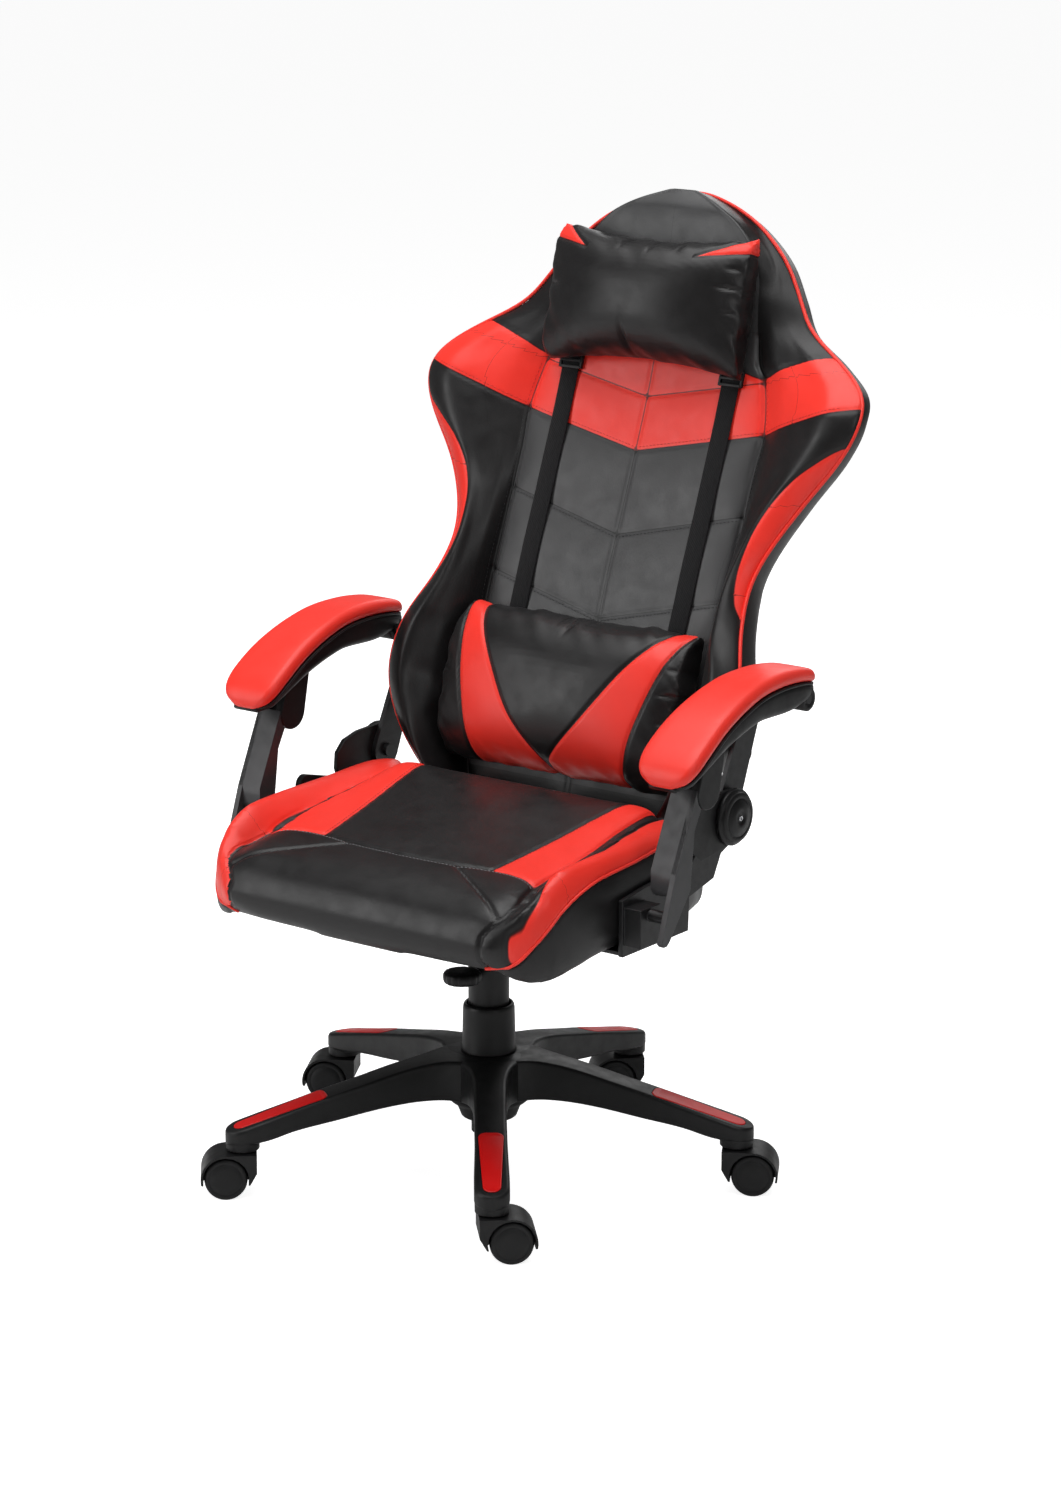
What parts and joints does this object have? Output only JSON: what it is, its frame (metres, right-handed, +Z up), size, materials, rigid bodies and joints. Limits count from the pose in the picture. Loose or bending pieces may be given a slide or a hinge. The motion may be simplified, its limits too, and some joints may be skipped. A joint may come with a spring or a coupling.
{
  "type": "gaming chair",
  "caption": "Swivel gaming chair with a winged reclining bucket back, linked padded armrests, head and lumbar pillows, gas lift and star base on twin-wheel casters.",
  "frame": {"origin": "on the floor under the middle of the chair's bounding box", "axes": "+Z up, the sitter faces -Y, +X is the sitter's left"},
  "size_m": [0.6827, 0.7284, 1.1135],
  "materials": {
    "black_nylon": "satin",
    "wheel_black": "satin",
    "black_plastic": "satin",
    "red_plastic": "satin",
    "bright_steel": "polished",
    "black_steel": "satin",
    "board": "matte",
    "seat_leather": "satin",
    "back_leather": "satin",
    "pillow_leather": "satin",
    "red_leather": "satin",
    "webbing": "matte"
  },
  "bodies": {
    "base": {"star_base": "black_nylon", "gas_cylinder": "black_steel", "lift_cover_lower": "black_nylon", "arm_insert_1": "red_plastic", "arm_insert_2": "red_plastic", "arm_insert_3": "red_plastic", "arm_insert_4": "red_plastic", "arm_insert_5": "red_plastic", "caster_stem_1": "bright_steel", "caster_stem_2": "bright_steel", "caster_stem_3": "bright_steel", "caster_stem_4": "bright_steel", "caster_stem_5": "bright_steel"},
    "caster_1": {"caster_hood_1": "black_nylon", "caster_axle_1": "bright_steel"},
    "wheel_1_left": {"caster_wheel_1_left": "wheel_black"},
    "wheel_1_right": {"caster_wheel_1_right": "wheel_black"},
    "caster_2": {"caster_hood_2": "black_nylon", "caster_axle_2": "bright_steel"},
    "wheel_2_left": {"caster_wheel_2_left": "wheel_black"},
    "wheel_2_right": {"caster_wheel_2_right": "wheel_black"},
    "caster_3": {"caster_hood_3": "black_nylon", "caster_axle_3": "bright_steel"},
    "wheel_3_left": {"caster_wheel_3_left": "wheel_black"},
    "wheel_3_right": {"caster_wheel_3_right": "wheel_black"},
    "caster_4": {"caster_hood_4": "black_nylon", "caster_axle_4": "bright_steel"},
    "wheel_4_left": {"caster_wheel_4_left": "wheel_black"},
    "wheel_4_right": {"caster_wheel_4_right": "wheel_black"},
    "caster_5": {"caster_hood_5": "black_nylon", "caster_axle_5": "bright_steel"},
    "wheel_5_left": {"caster_wheel_5_left": "wheel_black"},
    "wheel_5_right": {"caster_wheel_5_right": "wheel_black"},
    "column": {"gas_piston": "bright_steel", "lift_cover_upper": "black_nylon"},
    "mechanism": {"mechanism_housing": "black_steel"},
    "knob": {"tension_knob": "black_plastic"},
    "valve_cam": {"actuator_cam": "black_steel"},
    "height_lever": {"height_lever": "black_plastic"},
    "seat": {"seat_bracket": "black_steel", "seat_board": "board", "seat_cushion": "seat_leather", "recliner_plate_left": "black_steel", "recliner_plate_right": "black_steel", "hinge_cover_left": "black_plastic", "hinge_cover_right": "black_plastic"},
    "back": {"back_frame": "black_steel", "back_cushion": "back_leather", "pillow_strap_left": "webbing", "pillow_strap_right": "webbing"},
    "recline_lever": {"recline_lever": "black_plastic"},
    "lumbar_pillow": {"lumbar_pillow": "pillow_leather"},
    "head_pillow": {"head_pillow": "pillow_leather"},
    "post_left": {"arm_post_left": "black_plastic"},
    "arm_left": {"arm_frame_left": "black_plastic", "arm_pad_left": "red_leather"},
    "post_right": {"arm_post_right": "black_plastic"},
    "arm_right": {"arm_frame_right": "black_plastic", "arm_pad_right": "red_leather"}
  },
  "joints": [
    {"name": "caster_1_swivel", "type": "hinge", "parent": "base", "child": "caster_1", "pos_m": [0.18552, -0.29976, 0.05], "axis": [0, 0, 1], "continuous": true},
    {"name": "wheel_1_left_roll", "type": "hinge", "parent": "caster_1", "child": "wheel_1_left", "pos_m": [0.18992, -0.27515, 0.02469], "axis": [0.682, -0.7314, 0], "continuous": true},
    {"name": "wheel_1_right_roll", "type": "hinge", "parent": "caster_1", "child": "wheel_1_right", "pos_m": [0.21038, -0.29709, 0.02469], "axis": [0.682, -0.7314, 0], "continuous": true},
    {"name": "caster_2_swivel", "type": "hinge", "parent": "base", "child": "caster_2", "pos_m": [0.28155, 0.03959, 0.05], "axis": [0, 0, 1], "continuous": true},
    {"name": "wheel_2_left_roll", "type": "hinge", "parent": "caster_2", "child": "wheel_2_left", "pos_m": [0.29097, 0.06275, 0.02469], "axis": [0.515, -0.8572, 0], "continuous": true},
    {"name": "wheel_2_right_roll", "type": "hinge", "parent": "caster_2", "child": "wheel_2_right", "pos_m": [0.30642, 0.03703, 0.02469], "axis": [0.515, -0.8572, 0], "continuous": true},
    {"name": "caster_3_swivel", "type": "hinge", "parent": "base", "child": "caster_3", "pos_m": [-0.01152, 0.23578, 0.05], "axis": [0, 0, 1], "continuous": true},
    {"name": "wheel_3_left_roll", "type": "hinge", "parent": "caster_3", "child": "wheel_3_left", "pos_m": [-0.01634, 0.21125, 0.02469], "axis": [-0.6691, 0.7431, 0], "continuous": true},
    {"name": "wheel_3_right_roll", "type": "hinge", "parent": "caster_3", "child": "wheel_3_right", "pos_m": [-0.03642, 0.23354, 0.02469], "axis": [-0.6691, 0.7431, 0], "continuous": true},
    {"name": "caster_4_swivel", "type": "hinge", "parent": "base", "child": "caster_4", "pos_m": [-0.28867, 0.01768, 0.05], "axis": [0, 0, 1], "continuous": true},
    {"name": "wheel_4_left_roll", "type": "hinge", "parent": "caster_4", "child": "wheel_4_left", "pos_m": [-0.29849, -0.00531, 0.02469], "axis": [-0.5, 0.866, 0], "continuous": true},
    {"name": "wheel_4_right_roll", "type": "hinge", "parent": "caster_4", "child": "wheel_4_right", "pos_m": [-0.31349, 0.02067, 0.02469], "axis": [-0.5, 0.866, 0], "continuous": true},
    {"name": "caster_5_swivel", "type": "hinge", "parent": "base", "child": "caster_5", "pos_m": [-0.16689, -0.31329, 0.05], "axis": [0, 0, 1], "continuous": true},
    {"name": "wheel_5_left_roll", "type": "hinge", "parent": "caster_5", "child": "wheel_5_left", "pos_m": [-0.17214, -0.33774, 0.02469], "axis": [-0.6561, 0.7547, 0], "continuous": true},
    {"name": "wheel_5_right_roll", "type": "hinge", "parent": "caster_5", "child": "wheel_5_right", "pos_m": [-0.19182, -0.3151, 0.02469], "axis": [-0.6561, 0.7547, 0], "continuous": true},
    {"name": "height_lift", "type": "slide", "parent": "base", "child": "column", "axis": [0, 0, 1], "range_m": [0, 0.08]},
    {"name": "seat_swivel", "type": "hinge", "parent": "column", "child": "mechanism", "pos_m": [0, -0.064, 0.28], "axis": [0, 0, 1], "continuous": true},
    {"name": "tension_knob_turn", "type": "hinge", "parent": "mechanism", "child": "knob", "pos_m": [0, -0.114, 0.24], "axis": [0, 0, 1], "continuous": true},
    {"name": "valve_cam_turn", "type": "hinge", "parent": "mechanism", "child": "valve_cam", "pos_m": [0, -0.03, 0.292], "axis": [1, 0, 0], "range_deg": [0, 5], "stiffness_Nm_per_rad": 0.4, "springref_deg": -17.19},
    {"name": "rock_lock_slide", "type": "slide", "parent": "valve_cam", "child": "height_lever", "axis": [-1, 0, 0], "range_m": [0, 0.008]},
    {"name": "seat_rock", "type": "hinge", "parent": "mechanism", "child": "seat", "pos_m": [0, -0.106, 0.312], "axis": [-1, 0, 0], "range_deg": [0, 12], "stiffness_Nm_per_rad": 150, "springref_deg": -22.92},
    {"name": "recline", "type": "hinge", "parent": "seat", "child": "back", "pos_m": [0, 0.054, 0.442], "axis": [-1, 0, 0], "range_deg": [-16, 27]},
    {"name": "recline_lever_lift", "type": "hinge", "parent": "seat", "child": "recline_lever", "pos_m": [-0.265, 0.002, 0.404], "axis": [-1, 0, 0], "range_deg": [0, 20], "stiffness_Nm_per_rad": 0.3, "springref_deg": -17.19},
    {"name": "lumbar_slide", "type": "slide", "parent": "back", "child": "lumbar_pillow", "axis": [0, 0.309, 0.9511], "range_m": [0, 0.05]},
    {"name": "head_pillow_slide", "type": "slide", "parent": "back", "child": "head_pillow", "axis": [0, 0.309, 0.9511], "range_m": [-0.05, 0.015]},
    {"name": "post_left_pivot", "type": "hinge", "parent": "seat", "child": "post_left", "pos_m": [0.3, -0.136, 0.375], "axis": [-1, 0, 0], "range_deg": [-16, 27]},
    {"name": "arm_left_pivot", "type": "hinge", "parent": "back", "child": "arm_left", "pos_m": [0.3, 0.114, 0.577], "axis": [-1, 0, 0], "range_deg": [-27, 16]},
    {"name": "post_right_pivot", "type": "hinge", "parent": "seat", "child": "post_right", "pos_m": [-0.3, -0.136, 0.375], "axis": [-1, 0, 0], "range_deg": [-16, 27]},
    {"name": "arm_right_pivot", "type": "hinge", "parent": "back", "child": "arm_right", "pos_m": [-0.3, 0.114, 0.577], "axis": [-1, 0, 0], "range_deg": [-27, 16]}
  ],
  "couplings": [
    {"joint": "post_left_pivot", "follows": "recline", "ratio": 1},
    {"joint": "arm_left_pivot", "follows": "recline", "ratio": -1},
    {"joint": "post_right_pivot", "follows": "recline", "ratio": 1},
    {"joint": "arm_right_pivot", "follows": "recline", "ratio": -1}
  ]
}
